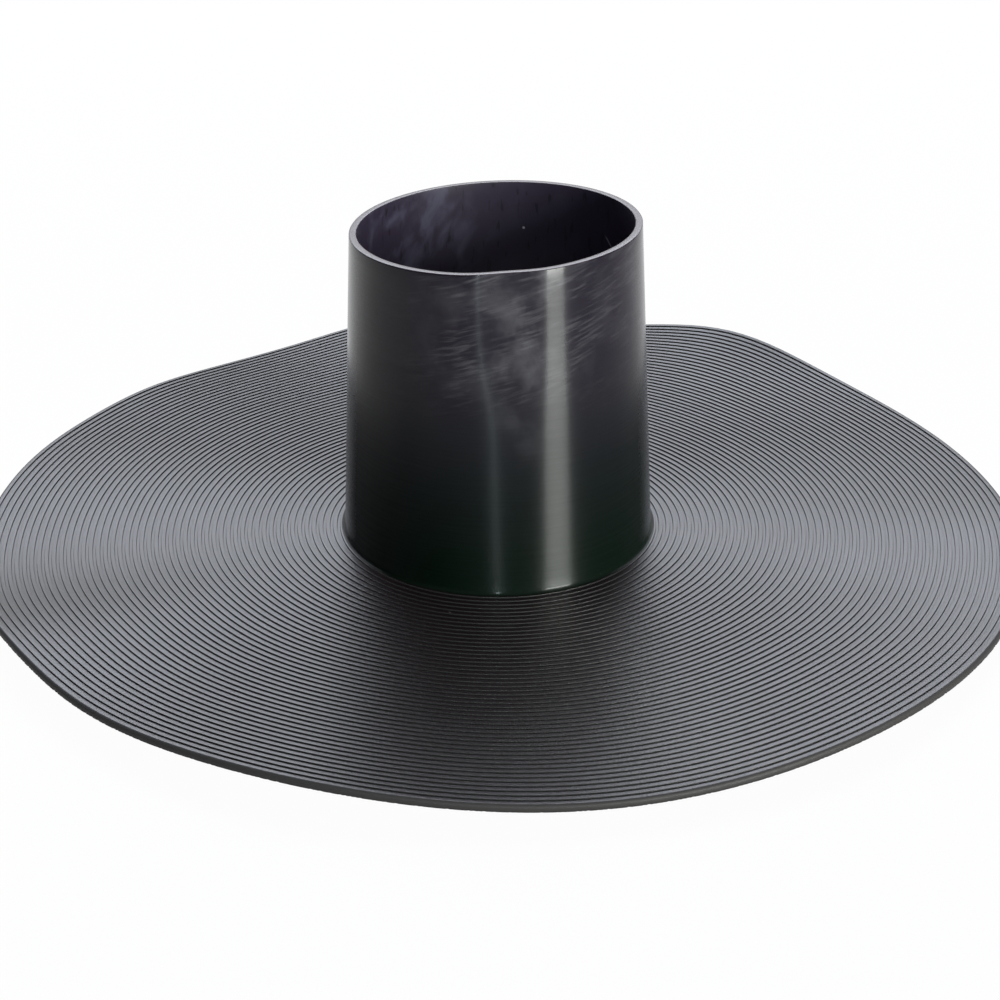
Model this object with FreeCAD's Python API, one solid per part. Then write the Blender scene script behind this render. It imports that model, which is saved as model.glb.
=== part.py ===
import FreeCAD, Part
import os
from math import cos, exp, radians, sin, tan

# Vapour barrier pipe seal, moulded in one piece of soft black rubber.
# A tapered collar grips a pipe, and a broad thin flange with fine round grooves
# is bonded to the membrane. The flange lies in easy waves, as soft rubber does.
# Sizes are in mm and degrees. Z is up along the collar, and Z = 0 is the floor.
# Directions round the seal are counted from +X towards +Y, and the front is -Y.

# Collar
collar_base_radius = 54.0
collar_rim_radius = 48.9
collar_height = 110.4
collar_wall = 2.5
collar_lean = 0.43
rim_rise_right = 2.35
rim_rise_front = 1.5
rim_edge_radius = 0.4
root_radius = 1.2
mouth_radius = 0.8

# Flange
flange_radius = 181.6
flange_thickness = 2.4
flange_edge_radius = 1.3
root_land = 1.1
groove_pitch = 2.5
groove_width = 1.0
groove_depth = 0.4

# Waves of the flange: direction of each crest or dip, its height at the edge,
# its half width round the edge, and how late it grows on the way out
level_land = 3.0
waves = [
    {"direction": 39.4, "height": 0.7, "half_width": 10.0, "growth": 3.5},
    {"direction": 48.6, "height": -2.3, "half_width": 18.0, "growth": 2.0},
    {"direction": 57.4, "height": 9.9, "half_width": 14.4, "growth": 3.3},
    {"direction": 105.4, "height": 4.3, "half_width": 10.0, "growth": 2.0},
    {"direction": 126.0, "height": -2.3, "half_width": 18.0, "growth": 1.0},
    {"direction": 141.4, "height": 1.8, "half_width": 10.0, "growth": 3.7},
    {"direction": 145.3, "height": -1.3, "half_width": 11.3, "growth": 1.6},
    {"direction": 186.3, "height": -1.5, "half_width": 14.6, "growth": 1.0},
    {"direction": 211.1, "height": 5.3, "half_width": 12.5, "growth": 1.9},
    {"direction": 246.3, "height": 6.1, "half_width": 29.9, "growth": 1.9},
    {"direction": 310.7, "height": 4.0, "half_width": 25.5, "growth": 1.2},
    {"direction": 357.5, "height": 2.4, "half_width": 13.5, "growth": 1.7},
]

# How finely curves are drawn
ring_stations = 36
corner_steps = 2
collar_steps = 3
underside_steps = 6

level_radius = collar_base_radius + level_land
quarter_turn = [radians(90.0 * step / corner_steps) for step in range(corner_steps + 1)]


def lift(radius, direction):
    """Height of the wavy flange above its level middle."""
    share = max(0.0, (radius - level_radius) / (flange_radius - level_radius))
    height = 0.0
    for wave in waves:
        turn = (direction - wave["direction"] + 180.0) % 360.0 - 180.0
        height += wave["height"] * share ** wave["growth"] * exp(-((turn / wave["half_width"]) ** 2))
    return height


def flange_ring(radius, depth):
    """Closed curve round the flange at a radius, some depth below its top."""
    if radius <= level_radius:
        return Part.Wire(Part.makeCircle(radius, FreeCAD.Vector(0, 0, -depth)))
    points = []
    for station in range(ring_stations):
        direction = 360.0 * station / ring_stations
        x = radius * cos(radians(direction))
        y = radius * sin(radians(direction))
        points.append(FreeCAD.Vector(x, y, lift(radius, direction) - depth))
    curve = Part.BSplineCurve()
    curve.interpolate(Points=points, PeriodicFlag=True)
    return Part.Wire(curve.toShape())


def collar_ring(inset, height):
    """Circle inset from the collar's outer face. The higher it is, the more it leans and slants."""
    share = max(0.0, height) / collar_height
    radius = collar_base_radius + (collar_rim_radius - collar_base_radius) * share - inset
    middle = FreeCAD.Vector(-tan(radians(collar_lean)) * collar_height * share, 0, height)
    normal = FreeCAD.Vector(-tan(radians(rim_rise_right)) * share, tan(radians(rim_rise_front)) * share, 1)
    circle = Part.makeCircle(radius)
    circle.Placement = FreeCAD.Placement(middle, FreeCAD.Rotation(FreeCAD.Vector(0, 0, 1), normal))
    return Part.Wire(circle)


def collar_rings():
    """Rings of the collar: rounded mouth, bore, rim with rounded edges, outside and root."""
    rings = []
    wall_heights = [collar_height * step / collar_steps for step in range(1, collar_steps)]
    for turn in quarter_turn:
        inset = collar_wall - mouth_radius * (1 - sin(turn))
        rings.append(collar_ring(inset, mouth_radius * (1 - cos(turn)) - flange_thickness))
    for height in wall_heights:
        rings.append(collar_ring(collar_wall, height))
    for turn in quarter_turn:
        inset = collar_wall - rim_edge_radius * (1 - cos(turn))
        rings.append(collar_ring(inset, collar_height - rim_edge_radius * (1 - sin(turn))))
    for turn in quarter_turn:
        inset = rim_edge_radius * (1 - sin(turn))
        rings.append(collar_ring(inset, collar_height - rim_edge_radius * (1 - cos(turn))))
    for height in reversed(wall_heights):
        rings.append(collar_ring(0, height))
    for turn in quarter_turn:
        rings.append(collar_ring(-root_radius * (1 - cos(turn)), root_radius * (1 - sin(turn))))
    return rings


def flange_rings():
    """Rings of the flange: grooved top, rounded edge and plain underside."""
    rings = []
    last_land = flange_radius - flange_edge_radius
    radius = collar_base_radius + root_radius + root_land
    while radius + groove_width / 2 < last_land:
        rings.append(flange_ring(radius - groove_width / 2, 0))
        rings.append(flange_ring(radius, groove_depth))
        rings.append(flange_ring(radius + groove_width / 2, 0))
        radius += groove_pitch
    for turn in quarter_turn:
        radius = last_land + flange_edge_radius * sin(turn)
        rings.append(flange_ring(radius, flange_edge_radius * (1 - cos(turn))))
    for step in range(underside_steps + 1):
        radius = flange_radius + (level_radius - flange_radius) * step / underside_steps
        rings.append(flange_ring(radius, flange_thickness))
    return rings


def band(first, second):
    """Face from one ring to the next: a flat ring where both lie level, else a ruled face."""
    both = Part.Compound([first, second])
    if both.findPlane():
        return Part.makeFace(both, "Part::FaceMakerBullseye").Faces
    return Part.makeRuledSurface(first, second).Faces


def pipe_seal():
    """The whole moulding, lifted so that its lowest edge touches the floor."""
    rings = collar_rings() + flange_rings()
    faces = []
    for first, second in zip(rings, rings[1:] + rings[:1]):
        faces.extend(band(first, second))
    body = Part.makeSolid(Part.Shell(faces))
    lowest = min(point.z for point in flange_ring(flange_radius, flange_thickness).discretize(Number=2000))
    body.translate(FreeCAD.Vector(0, 0, -lowest))
    return body


os.makedirs("parts", exist_ok=True)
pipe_seal().exportStep("parts/pipe_seal.step")
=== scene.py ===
from math import cos, pi, radians, sin, tan

import bpy
import numpy as np
from mathutils import Matrix, Vector


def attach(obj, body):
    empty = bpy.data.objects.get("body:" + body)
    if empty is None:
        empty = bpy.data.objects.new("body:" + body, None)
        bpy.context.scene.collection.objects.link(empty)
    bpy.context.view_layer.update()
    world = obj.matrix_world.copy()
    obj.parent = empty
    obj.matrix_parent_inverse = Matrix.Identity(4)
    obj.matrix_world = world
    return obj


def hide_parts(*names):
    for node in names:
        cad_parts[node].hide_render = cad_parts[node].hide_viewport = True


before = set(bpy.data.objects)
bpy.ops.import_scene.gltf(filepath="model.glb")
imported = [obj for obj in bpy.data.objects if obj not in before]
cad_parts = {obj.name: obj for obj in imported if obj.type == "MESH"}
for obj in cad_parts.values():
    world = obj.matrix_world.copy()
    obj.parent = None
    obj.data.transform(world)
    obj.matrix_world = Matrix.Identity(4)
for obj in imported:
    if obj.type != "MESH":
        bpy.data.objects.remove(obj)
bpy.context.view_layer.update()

# Flange: the broad thin sheet of soft black rubber that is bonded to the membrane.
# Fine concentric grooves are moulded in its top, its edge is rounded above and roughly
# trimmed below, and it lies on the floor in easy waves. Sizes are in mm and degrees.
flange_radius = 181.6
flange_thickness = 2.4
flange_edge_radius = 1.3
collar_base_radius = 54.0
root_radius = 1.2
level_radius = 57.0
round_steps = 192
edge_steps = 1536

# Each wave: the direction of its crest or dip, its height at the edge, its half width
# round the edge, and how late it grows on the way out.
waves = [
    (39.4, 0.7, 10.0, 3.5),
    (48.6, -2.3, 18.0, 2.0),
    (57.4, 9.9, 14.4, 3.3),
    (105.4, 4.3, 10.0, 2.0),
    (126.0, -2.3, 18.0, 1.0),
    (141.4, 1.8, 10.0, 3.7),
    (145.3, -1.3, 11.3, 1.6),
    (186.3, -1.5, 14.6, 1.0),
    (211.1, 5.3, 12.5, 1.9),
    (246.3, 6.1, 29.9, 1.9),
    (310.7, 4.0, 25.5, 1.2),
    (357.5, 2.4, 13.5, 1.7),
]


def turns(count):
    """Directions in degrees of points spread evenly round the seal, from +X towards +Y."""
    return np.arange(count) * 360.0 / count


def lift(radius, direction):
    """Height of the wavy flange above its level middle, in mm."""
    share = np.maximum(0.0, (radius - level_radius) / (flange_radius - level_radius))
    height = np.zeros(np.broadcast(share, direction).shape)
    for crest, rise, half_width, growth in waves:
        turn = (direction - crest + 180.0) % 360.0 - 180.0
        height = height + rise * share ** growth * np.exp(-((turn / half_width) ** 2))
    return height


level_top = flange_thickness - lift(flange_radius, turns(edge_steps)).min()


def flange_ring(radius, depth, count=round_steps):
    """Ring of points on the flange, some depth below its top."""
    direction = turns(count)
    radius = radius + np.zeros(count)
    angle = np.radians(direction)
    height = level_top + lift(radius, direction) - depth
    return np.stack([radius * np.cos(angle), radius * np.sin(angle), height], -1)


def moulding(name, rings, finishes):
    """Mesh in metres with a smooth band of faces from each ring to the next.

    A ring given twice is a sharp edge.
    """
    starts = np.cumsum([0] + [len(ring) for ring in rings])
    faces = []
    slots = []
    for band, (first, second) in enumerate(zip(rings, rings[1:])):
        if first is second:
            continue
        coarse = min(len(first), len(second))
        inner = len(first) // coarse
        outer = len(second) // coarse
        for step in range(coarse):
            near = [starts[band] + (step * inner + k) % len(first) for k in range(inner + 1)]
            far = [starts[band + 1] + (step * outer + k) % len(second) for k in range(outer + 1)]
            faces.append([int(v) for v in near[::-1] + far])
            slots.append(finishes[band])
    mesh = bpy.data.meshes.new(name)
    mesh.from_pydata((np.concatenate(rings) * 0.001).tolist(), [], faces)
    mesh.polygons.foreach_set("material_index", slots)
    mesh.shade_smooth()
    piece = bpy.data.objects.new(name, mesh)
    bpy.context.scene.collection.objects.link(piece)
    return piece


# Grooves: steep sides and a flat floor, given as distance from the middle and depth.
first_groove = 56.3
groove_pitch = 2.5
groove_count = 50
groove_section = [(0.46, 0.43), (0.53, 0.05), (0.62, 0.0)]
floor_offset, floor_depth = groove_section[0]
land, side, trimmed = range(3)
groove_finish = [land, land, side, land, land, land, side, land]
flange_rings = [flange_ring(collar_base_radius + root_radius, 0.0)]
for groove in range(groove_count):
    middle = first_groove + groove_pitch * groove
    for offset, depth in reversed(groove_section):
        flange_rings.append(flange_ring(middle - offset, depth))
    flange_rings.append(flange_rings[-1])
    flange_rings += [flange_ring(middle + floor_offset, floor_depth)] * 2
    for offset, depth in groove_section[1:]:
        flange_rings.append(flange_ring(middle + offset, depth))

# Edge: rounded above and ragged below, just inside the moulding's outline.
clearance = 0.02
trim_depth = 0.22
trim_start = 0.3
trim_end = 0.05
trim_bevel = 0.5
edge_turns = 6
edge_start = flange_radius - flange_edge_radius
for step in range(edge_turns):
    turn = radians(90.0 * step / edge_turns)
    drop = flange_edge_radius * (1 - cos(turn))
    flange_rings.append(flange_ring(edge_start + flange_edge_radius * sin(turn), drop))
ragged = np.random.default_rng(5).uniform(-0.3, 1.0, edge_steps).clip(0.0)
trim = ragged * np.tile([0.0, 1.0], edge_steps // 2) * trim_depth
edge = flange_radius - clearance
underside = flange_thickness - clearance
flange_rings.append(flange_ring(edge, flange_edge_radius, edge_steps))
flange_rings.append(flange_ring(edge - trim, flange_edge_radius + trim_start, edge_steps))
flange_rings.append(flange_ring(edge - trim, underside - trim_end, edge_steps))
flange_rings.append(flange_ring(edge - trim_bevel, underside, edge_steps))

# Underside: plain, from the edge in to the collar's mouth.
underside_start = 180.8
underside_end = 52.0
underside_steps = 9
for step in range(underside_steps + 1):
    radius = underside_start + (underside_end - underside_start) * step / underside_steps
    flange_rings.append(flange_ring(radius, underside))
flange_finish = groove_finish * groove_count + [land, land]
flange_finish += [trimmed] * (len(flange_rings) - 1 - len(flange_finish))
flange = moulding("flange", flange_rings, flange_finish)
flange.modifiers.new("flat_lands", "WEIGHTED_NORMAL").weight = 50


class Shade:
    """A socket in a material's nodes. Sums and products of such sockets add Math nodes."""

    def __init__(self, tree, socket=None):
        self.tree = tree
        self.socket = socket

    def node(self, kind, settings=None, sockets=None, out=0):
        """Any node: its settings are set first, then the values or links of its sockets."""
        made = self.tree.nodes.new(kind)
        for name, value in (settings or {}).items():
            setattr(made, name, value)
        for name, value in (sockets or {}).items():
            if isinstance(value, Shade):
                self.tree.links.new(value.socket, made.inputs[name])
            else:
                made.inputs[name].default_value = value
        return Shade(self.tree, made.outputs[out] if made.outputs else None)

    def math(self, operation, *values):
        return self.node("ShaderNodeMath", {"operation": operation}, dict(enumerate(values)))

    def __add__(self, other):
        return self.math("ADD", self, other)

    def __sub__(self, other):
        return self.math("SUBTRACT", self, other)

    def __rsub__(self, other):
        return self.math("SUBTRACT", other, self)

    def __mul__(self, other):
        return self.math("MULTIPLY", self, other)

    def __abs__(self):
        return self.math("ABSOLUTE", self)

    __radd__ = __add__
    __rmul__ = __mul__

    def between(self, low, high):
        """0 below low, 1 above high, and smooth between."""
        settings = {"interpolation_type": "SMOOTHSTEP"}
        sockets = {"Value": self, "From Min": low, "From Max": high}
        return self.node("ShaderNodeMapRange", settings, sockets)

    def mix(self, first, second):
        """The first colour where this is 0, the second where it is 1."""
        sockets = {0: self, 6: first, 7: second}
        return self.node("ShaderNodeMix", {"data_type": "RGBA"}, sockets, 2)

    def blend(self, first, second):
        """The first shader where this is 0, the second where it is 1."""
        return self.node("ShaderNodeMixShader", None, {0: self, 1: first, 2: second})

    def parts(self):
        return [self.node("ShaderNodeSeparateXYZ", None, {0: self}, axis) for axis in range(3)]

    def joined(self, y, z):
        return self.node("ShaderNodeCombineXYZ", None, {0: self, 1: y, 2: z})

    def noise(self, scale, detail=2.0, distortion=0.0):
        sockets = {"Vector": self, "Scale": scale, "Detail": detail, "Distortion": distortion}
        return self.node("ShaderNodeTexNoise", None, sockets)

    def rubber(self, sockets):
        return self.node("ShaderNodeBsdfPrincipled", None, sockets)

    def ends(self, shader):
        self.node("ShaderNodeOutputMaterial", None, {"Surface": shader})


def finish(name):
    """New empty material, with its start of nodes and the place on the part in mm."""
    material = bpy.data.materials.new(name)
    material.use_nodes = True
    material.node_tree.nodes.clear()
    start = Shade(material.node_tree)
    metres = start.node("ShaderNodeTexCoord", out="Object")
    place = start.node("ShaderNodeVectorMath", {"operation": "SCALE"}, {0: metres, "Scale": 1000.0})
    return material, start, place


ribbed_rubber, start, place = finish("ribbed_rubber")
ribbed_black = (0.0058, 0.0032, 0.0038, 1.0)
dust_grey = (0.40, 0.40, 0.42, 1.0)
dust_spread = {"Vector": place, "Scale": 0.07}
grain = place.noise(1.6, 3.0)
cloud = place.noise(0.03, 3.0)
dust_reach = start.node("ShaderNodeTexVoronoi", None, dust_spread, "Distance")
dust_pick = start.node("ShaderNodeTexVoronoi", None, dust_spread, "Color").parts()[0]
dust = (1 - dust_reach.between(0.015, 0.045)) * dust_pick.between(0.88, 0.90)
grain_bump = {"Strength": 0.25, "Distance": 0.0004, "Height": grain}
start.ends(start.rubber({
    "Base Color": dust.mix(ribbed_black, dust_grey),
    "Roughness": 0.24 + grain * 0.12 + cloud * 0.06,
    "IOR": 1.5,
    "Normal": start.node("ShaderNodeBump", None, grain_bump),
}))
flange.data.materials.append(ribbed_rubber)

groove_rubber, start, place = finish("groove_rubber")
start.ends(start.rubber({
    "Base Color": (0.003, 0.003, 0.003, 1.0),
    "Roughness": 0.6,
    "IOR": 1.35,
}))
flange.data.materials.append(groove_rubber)

edge_rubber, start, place = finish("edge_rubber")
start.ends(start.rubber({
    "Base Color": (0.0155, 0.0142, 0.0140, 1.0),
    "Roughness": 0.5 + place.noise(0.8) * 0.2,
    "IOR": 1.32,
}))
flange.data.materials.append(edge_rubber)
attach(flange, "root")
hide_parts("pipe_seal")

# Collar: the thin tapered tube that stretches over the pipe, moulded in one with the flange.
# Its satin black wall is painted darker and green towards the foot and purple towards the top
# (painted shade and tint), carries fine marks round it and some scuffs near the top, partly painted
# sheen beside the highlight, and the rim is a clean cut that shows paler.
collar_rim_radius = 48.9
collar_height = 110.4
collar_wall = 2.5
collar_lean = 0.43
rim_rise_right = 2.35
rim_rise_front = 1.5
rim_edge_radius = 0.4
mouth_radius = 0.8
corner_steps = 4
wall_steps = 24

# Soft dents of the upper wall: direction, depth at the rim and half width round it.
dents = [(274.0, 1.4, 11.5), (302.0, 0.9, 36.0)]
dent_start = 0.5
dent_growth = 0.35


def collar_ring(inset, height):
    """Ring inset from the collar's outer face. The higher it is, the more it leans and slants."""
    share = max(0.0, height) / collar_height
    radius = collar_base_radius + (collar_rim_radius - collar_base_radius) * share - inset
    lean = -tan(radians(collar_lean)) * collar_height * share
    middle = Vector((lean, 0.0, level_top + height))
    rise_right = tan(radians(rim_rise_right)) * share
    rise_front = tan(radians(rim_rise_front)) * share
    slant = Vector((-rise_right, rise_front, 1.0))
    tilt = np.array(Vector((0.0, 0.0, 1.0)).rotation_difference(slant).to_matrix())
    rise = min(1.0, max(0.0, (share - dent_start) / dent_growth))
    fade = 0.4 * share + 0.6 * rise * rise * (3 - 2 * rise)
    around = turns(round_steps)
    for direction, depth, half_width in dents:
        radius = radius - depth * fade * np.exp(-(((around - direction) / half_width) ** 2))
    angle = np.radians(around)
    circle = [radius * np.cos(angle), radius * np.sin(angle), np.zeros(round_steps)]
    return np.stack(circle, -1) @ tilt.T + np.array(middle)


quarter = [radians(90.0 * step / corner_steps) for step in range(corner_steps + 1)]
heights = [collar_height * step / wall_steps for step in range(1, wall_steps)]
collar_rings = []
for turn in quarter:
    inset = collar_wall - mouth_radius * (1 - sin(turn))
    collar_rings.append(collar_ring(inset, mouth_radius * (1 - cos(turn)) - flange_thickness))
for height in heights:
    collar_rings.append(collar_ring(collar_wall, height))
for turn in quarter:
    inset = collar_wall - rim_edge_radius * (1 - cos(turn))
    collar_rings.append(collar_ring(inset, collar_height - rim_edge_radius * (1 - sin(turn))))
rim_start = len(collar_rings) - 1
for turn in quarter:
    inset = rim_edge_radius * (1 - sin(turn))
    collar_rings.append(collar_ring(inset, collar_height - rim_edge_radius * (1 - cos(turn))))
for height in reversed(heights):
    collar_rings.append(collar_ring(0.0, height))
for turn in quarter:
    inset = -root_radius * (1 - cos(turn))
    collar_rings.append(collar_ring(inset, root_radius * (1 - sin(turn))))
turned, cut, inside = range(3)
cut_bands = 5
collar_finish = [inside] * (rim_start - cut_bands // 2) + [cut] * cut_bands
collar_finish += [turned] * (len(collar_rings) - 1 - len(collar_finish))
collar = moulding("collar", collar_rings, collar_finish)

# Outside: fine turned lines make one narrow and two wide glosses, and the root is dull.
turned_rubber, start, place = finish("turned_rubber")
across, along, up = place.parts()
# The wall's colour changes with height, darker green-black at the foot and purple-black at the top:
# painted shade and painted tint of the light.
painted_foot_shade = (0.0014, 0.0042, 0.0024, 1.0)
painted_top_tint = (0.0050, 0.0034, 0.0080, 1.0)
scuff_and_sheen_grey = (0.052, 0.050, 0.057, 1.0)
hairs = (across * 0.04).joined(along * 0.04, up * 1.3).noise(1.0, 4.0)
root = 1 - up.between(level_top + 0.2, level_top + 1.8)
fades_right = 1 - across.between(16.0, 34.0) * 0.6
worn = up.between(62.0, 92.0) * across.between(-40.0, -6.0) * fades_right
wiped = (across * 0.10 + up * 0.04).joined(along * 0.10, up * 0.85 - across * 0.24)
patches = place.noise(0.07, 2.0).between(0.38, 0.60)
strokes = wiped.noise(1.0, 4.0, 0.3).between(0.45, 0.72) * patches
haze = place.noise(0.08, 4.0, 0.2).between(0.42, 0.74)
# Left of the strip light's highlight the wall is painted paler: a rubbed haze that is partly
# painted sheen of the highlight.
rubbed_and_sheen = across.between(-8.0, 10.0) * (1 - across.between(12.0, 20.0)) * up.between(40.0, 90.0)
scuffs_and_sheen = worn * (strokes * 0.65 + haze * 0.35) + rubbed_and_sheen * (0.10 + haze * 0.5)
painted_wall_tone = up.between(0.0, 110.0).mix(painted_foot_shade, painted_top_tint)
wall_sockets = {
    "Base Color": scuffs_and_sheen.mix(painted_wall_tone, scuff_and_sheen_grey),
    "Roughness": 0.16 + hairs * 0.02 + scuffs_and_sheen * 0.012 - up.between(88.0, 112.0) * 0.025,
    "IOR": 1.39,
    "Anisotropic": 1.0,
    "Anisotropic Rotation": 0.25,
}
between_lines = start.rubber(wall_sockets)
in_lines = start.rubber(wall_sockets | {"Roughness": 0.33})
blunt_lines = start.rubber(wall_sockets | {"Roughness": 0.42, "Anisotropic": 0.8})
dull_root = start.rubber({"Base Color": painted_wall_tone, "Roughness": 0.8, "IOR": 1.15})
facing = start.node("ShaderNodeLayerWeight", None, {"Blend": 0.5}, "Facing")
square_on = 1 - facing.between(0.45, 0.85) * 0.85
lined = ((0.20 + hairs * 0.5) * square_on).blend(between_lines, in_lines)
lined = (square_on * 0.18).blend(lined, blunt_lines)
start.ends((root * square_on * 0.7).blend(lined, dull_root))
collar.data.materials.append(turned_rubber)

# Rim: a clean cut.
cut_rubber, start, place = finish("cut_rubber")
start.ends(start.rubber({
    "Base Color": (0.050, 0.030, 0.036, 1.0),
    "Roughness": 0.27 + place.noise(2.0) * 0.1,
    "IOR": 1.52,
}))
collar.data.materials.append(cut_rubber)

# Inside: duller, with smudges, short dark marks, one scratch and one pale speck. The smudges fade
# out towards the right, so the left wall, which faces the strip light, is painted paler: partly
# real smudges, partly painted light.
inner_rubber, start, place = finish("inner_rubber")
across, along, up = place.parts()
inner_black = (0.024, 0.018, 0.033, 1.0)
mark_black = (0.012, 0.0095, 0.016, 1.0)
smudge_and_glow_grey = (0.050, 0.046, 0.074, 1.0)
nick_grey = (0.45, 0.44, 0.46, 1.0)
scratch_across = 38.4
scratch_up = 98.5
speck_place = (8.9, 46.0, 97.0)
wiped = (across * 0.09 + up * 0.05).joined(along * 0.09, up * 0.09 - across * 0.14)
# Smudges kept to the left wall that faces the strip light: partly painted light.
smudge_and_glow = wiped.noise(1.0, 6.0, 0.3).between(0.42, 0.75) * (1.15 - across.between(-24.0, 2.0))
marks = (across * 0.6).joined(along * 0.6, up * 0.12).noise(1.0, 2.0).between(0.60, 0.68)
beside = abs((across - scratch_across) * 0.85 + (up - scratch_up) * 0.53)
lengthwise = abs((across - scratch_across) * 0.53 - (up - scratch_up) * 0.85)
scratch = (1 - beside.between(0.12, 0.35)) * (1 - lengthwise.between(1.2, 3.2))
scratch = scratch * along.between(10.0, 15.0)
to_speck = {0: place, 1: speck_place}
from_speck = start.node("ShaderNodeVectorMath", {"operation": "DISTANCE"}, to_speck, "Value")
nicks = scratch * 0.5 + (1 - from_speck.between(0.25, 0.65))
inner_tone = smudge_and_glow.mix(marks.mix(inner_black, mark_black), smudge_and_glow_grey)
start.ends(start.rubber({
    "Base Color": nicks.mix(inner_tone, nick_grey),
    "Roughness": 0.48 + smudge_and_glow * 0.1,
    "IOR": 1.36,
}))
collar.data.materials.append(inner_rubber)
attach(collar, "root")
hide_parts("pipe_seal")

# Floor: a plain white studio table, a hair below the seal.
# It is seen white by the camera and in gloss, and keeps the seal's shadow.
floor_reach = 6.0
floor_drop = -0.0003
floor_corners = [(-1, -1), (1, -1), (1, 1), (-1, 1)]
floor_points = [(x * floor_reach, y * floor_reach, floor_drop) for x, y in floor_corners]
floor_mesh = bpy.data.meshes.new("floor")
floor_mesh.from_pydata(floor_points, [], [(0, 1, 2, 3)])
floor = bpy.data.objects.new("floor", floor_mesh)
bpy.context.scene.collection.objects.link(floor)
white_floor, start, place = finish("white_floor")
plain = start.node("ShaderNodeBsdfPrincipled", None, {
    "Base Color": (0.88, 0.88, 0.88, 1.0),
    "Roughness": 0.2,
    "IOR": 1.2,
})
white = start.node("ShaderNodeEmission", None, {"Color": (1.0, 1.0, 1.0, 1.0), "Strength": 1.0})
to_camera = start.node("ShaderNodeLightPath", out="Is Camera Ray")
to_gloss = start.node("ShaderNodeLightPath", out="Is Glossy Ray")
to_glass = start.node("ShaderNodeLightPath", out="Is Transmission Ray")
seen = to_camera * 0.97 + to_gloss * 0.85 + to_glass * 0.97
start.ends(seen.blend(plain, white))
floor.data.materials.append(white_floor)

# Light: a studio that is white at the horizon and dim above, a broad softbox behind the seal,
# a strip light at the front right, a slim light in front for the thin streak,
# and dim softboxes at the sides that give only the grooved flange its sheen. Sizes are in m.
horizon_white = (1.0, 1.0, 1.0, 1.0)
ceiling_grey = (0.11, 0.10, 0.11, 1.0)
world = bpy.data.worlds.new("studio")
world.use_nodes = True
world.node_tree.nodes.clear()
sky = Shade(world.node_tree)
above = sky.node("ShaderNodeTexCoord", out="Generated").parts()[2]
tone = above.between(0.05, 0.75).mix(horizon_white, ceiling_grey)
studio = sky.node("ShaderNodeBackground", None, {"Color": tone, "Strength": 1.0})
sky.node("ShaderNodeOutputWorld", None, {"Surface": studio})
bpy.context.scene.world = world


def softbox(name, place, aim_height, width, height, radiance, colour, lit=()):
    """Rectangular soft light that faces the seal's axis and lights all, or the pieces given."""
    light = bpy.data.lights.new(name, "AREA")
    light.shape = "RECTANGLE"
    light.size = width
    light.size_y = height
    light.energy = radiance * pi * width * height
    light.color = colour
    lamp = bpy.data.objects.new(name, light)
    lamp.location = place
    aim = Vector((0.0, 0.0, aim_height)) - Vector(place)
    lamp.rotation_euler = aim.to_track_quat("-Z", "Y").to_euler()
    lamp.visible_camera = False
    bpy.context.scene.collection.objects.link(lamp)
    if lit:
        receivers = bpy.data.collections.new(name + "_lit")
        for piece in lit:
            receivers.objects.link(piece)
        lamp.light_linking.receiver_collection = receivers


back_blue = (0.850, 0.90, 1.0)
strip_green = (0.97, 1.0, 0.95)
slim_blue = (0.82, 0.97, 1.0)
side_blue = (0.88, 0.93, 1.0)
softbox("back_softbox", (0.0, 1.389, 1.195), 0.05, 2.3, 1.07, 5.5, back_blue)
strip_place = (0.675, -0.745, 0.255)
softbox("strip_light", strip_place, 0.10, 0.32, 0.49, 43.0, strip_green, [flange, collar])
softbox("slim_light", (0.0, -0.95, 0.43), 0.10, 0.035, 0.46, 45.0, slim_blue)
side_places = {
    "left_softbox": (-1.5, 0.0, 0.9),
    "right_softbox": (1.5, 0.0, 0.9),
    "front_softbox": (0.0, -1.6, 0.9),
}
for name, place in side_places.items():
    softbox(name, place, 0.0, 2.0, 1.5, 1.0, side_blue, [flange])

# Flag: a dark curtain round the front and sides of the studio, out of the camera's sight,
# keeps the seal's front dark. Sizes are in m.
curtain_radius = 2.0
curtain_height = 2.5
curtain_start = 135.0
curtain_sweep = 270.0
curtain_panels = 23
flag_points = []
for panel in range(curtain_panels + 1):
    turn = radians(curtain_start + curtain_sweep * panel / curtain_panels)
    for height in (0.0, curtain_height):
        flag_points.append((curtain_radius * cos(turn), curtain_radius * sin(turn), height))
flag_faces = [(k, k + 2, k + 3, k + 1) for k in range(0, 2 * curtain_panels, 2)]
flag_mesh = bpy.data.meshes.new("flag")
flag_mesh.from_pydata(flag_points, [], flag_faces)
flag = bpy.data.objects.new("flag", flag_mesh)
bpy.context.scene.collection.objects.link(flag)
black_card, start, place = finish("black_card")
start.ends(start.node("ShaderNodeBsdfDiffuse", None, {"Color": (0.02, 0.02, 0.02, 1.0)}))
flag.data.materials.append(black_card)
flag.visible_camera = False

# Camera: the photograph's viewpoint, in front of the seal and a little above its rim.
# It looks down on the flange, and its place is in m.
camera_data = bpy.data.cameras.new("camera")
camera_data.lens = 82.806
camera_data.sensor_width = 36.0
camera = bpy.data.objects.new("camera", camera_data)
camera_place = Vector((0.00069, -0.72197, 0.37657 + level_top * 0.001))
pitch = radians(27.052)
roll = 0.0012
ahead = Vector((0.0, cos(pitch), -sin(pitch)))
right = Vector((1.0, 0.0, 0.0))
over = right.cross(ahead)
right, over = cos(roll) * right + sin(roll) * over, cos(roll) * over - sin(roll) * right
stand = Matrix((right, over, -ahead)).transposed().to_4x4()
stand.translation = camera_place
camera.matrix_world = stand
bpy.context.scene.collection.objects.link(camera)
bpy.context.scene.camera = camera
bpy.context.scene.view_settings.view_transform = "Standard"
